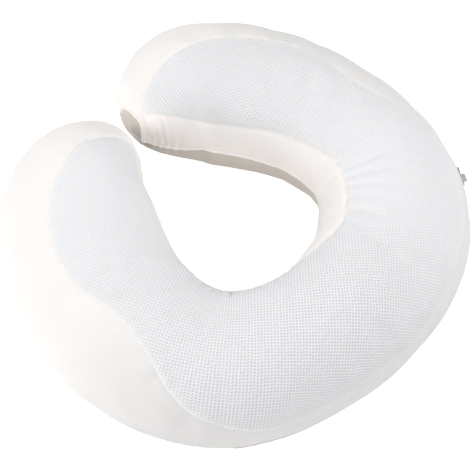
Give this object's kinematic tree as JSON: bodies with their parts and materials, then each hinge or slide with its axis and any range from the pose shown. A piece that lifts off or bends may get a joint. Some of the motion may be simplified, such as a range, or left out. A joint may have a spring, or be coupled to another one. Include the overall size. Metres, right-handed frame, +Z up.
{
  "type": "u-shaped travel pillow",
  "caption": "Curved neck pillow, a filled ring open at the front, with a mesh top panel, smooth sides and base, and a zip round the back.",
  "frame": {"origin": "on the surface that the pillow lies on, under the middle of the whole", "axes": "+Z up, +Y from the open ends of the arms towards the back of the neck, +X from one arm to the other, with the zip closing near the arm on the -X side"},
  "size_m": [0.3088, 0.2884, 0.0859],
  "materials": {
    "smooth_cloth": "soft short pile, matt",
    "spacer_mesh": "open net with small round holes",
    "base_cloth": "soft short pile, matt",
    "zip_cloth": "woven tape with closed teeth",
    "zip_metal": "dull grey"
  },
  "bodies": {
    "root": {"filled_body": "smooth_cloth", "mesh_panel": "spacer_mesh", "base_panel": "base_cloth", "zip_tape": "zip_cloth", "zip_slider": "zip_metal", "zip_pull": "zip_metal"}
  },
  "joints": []
}
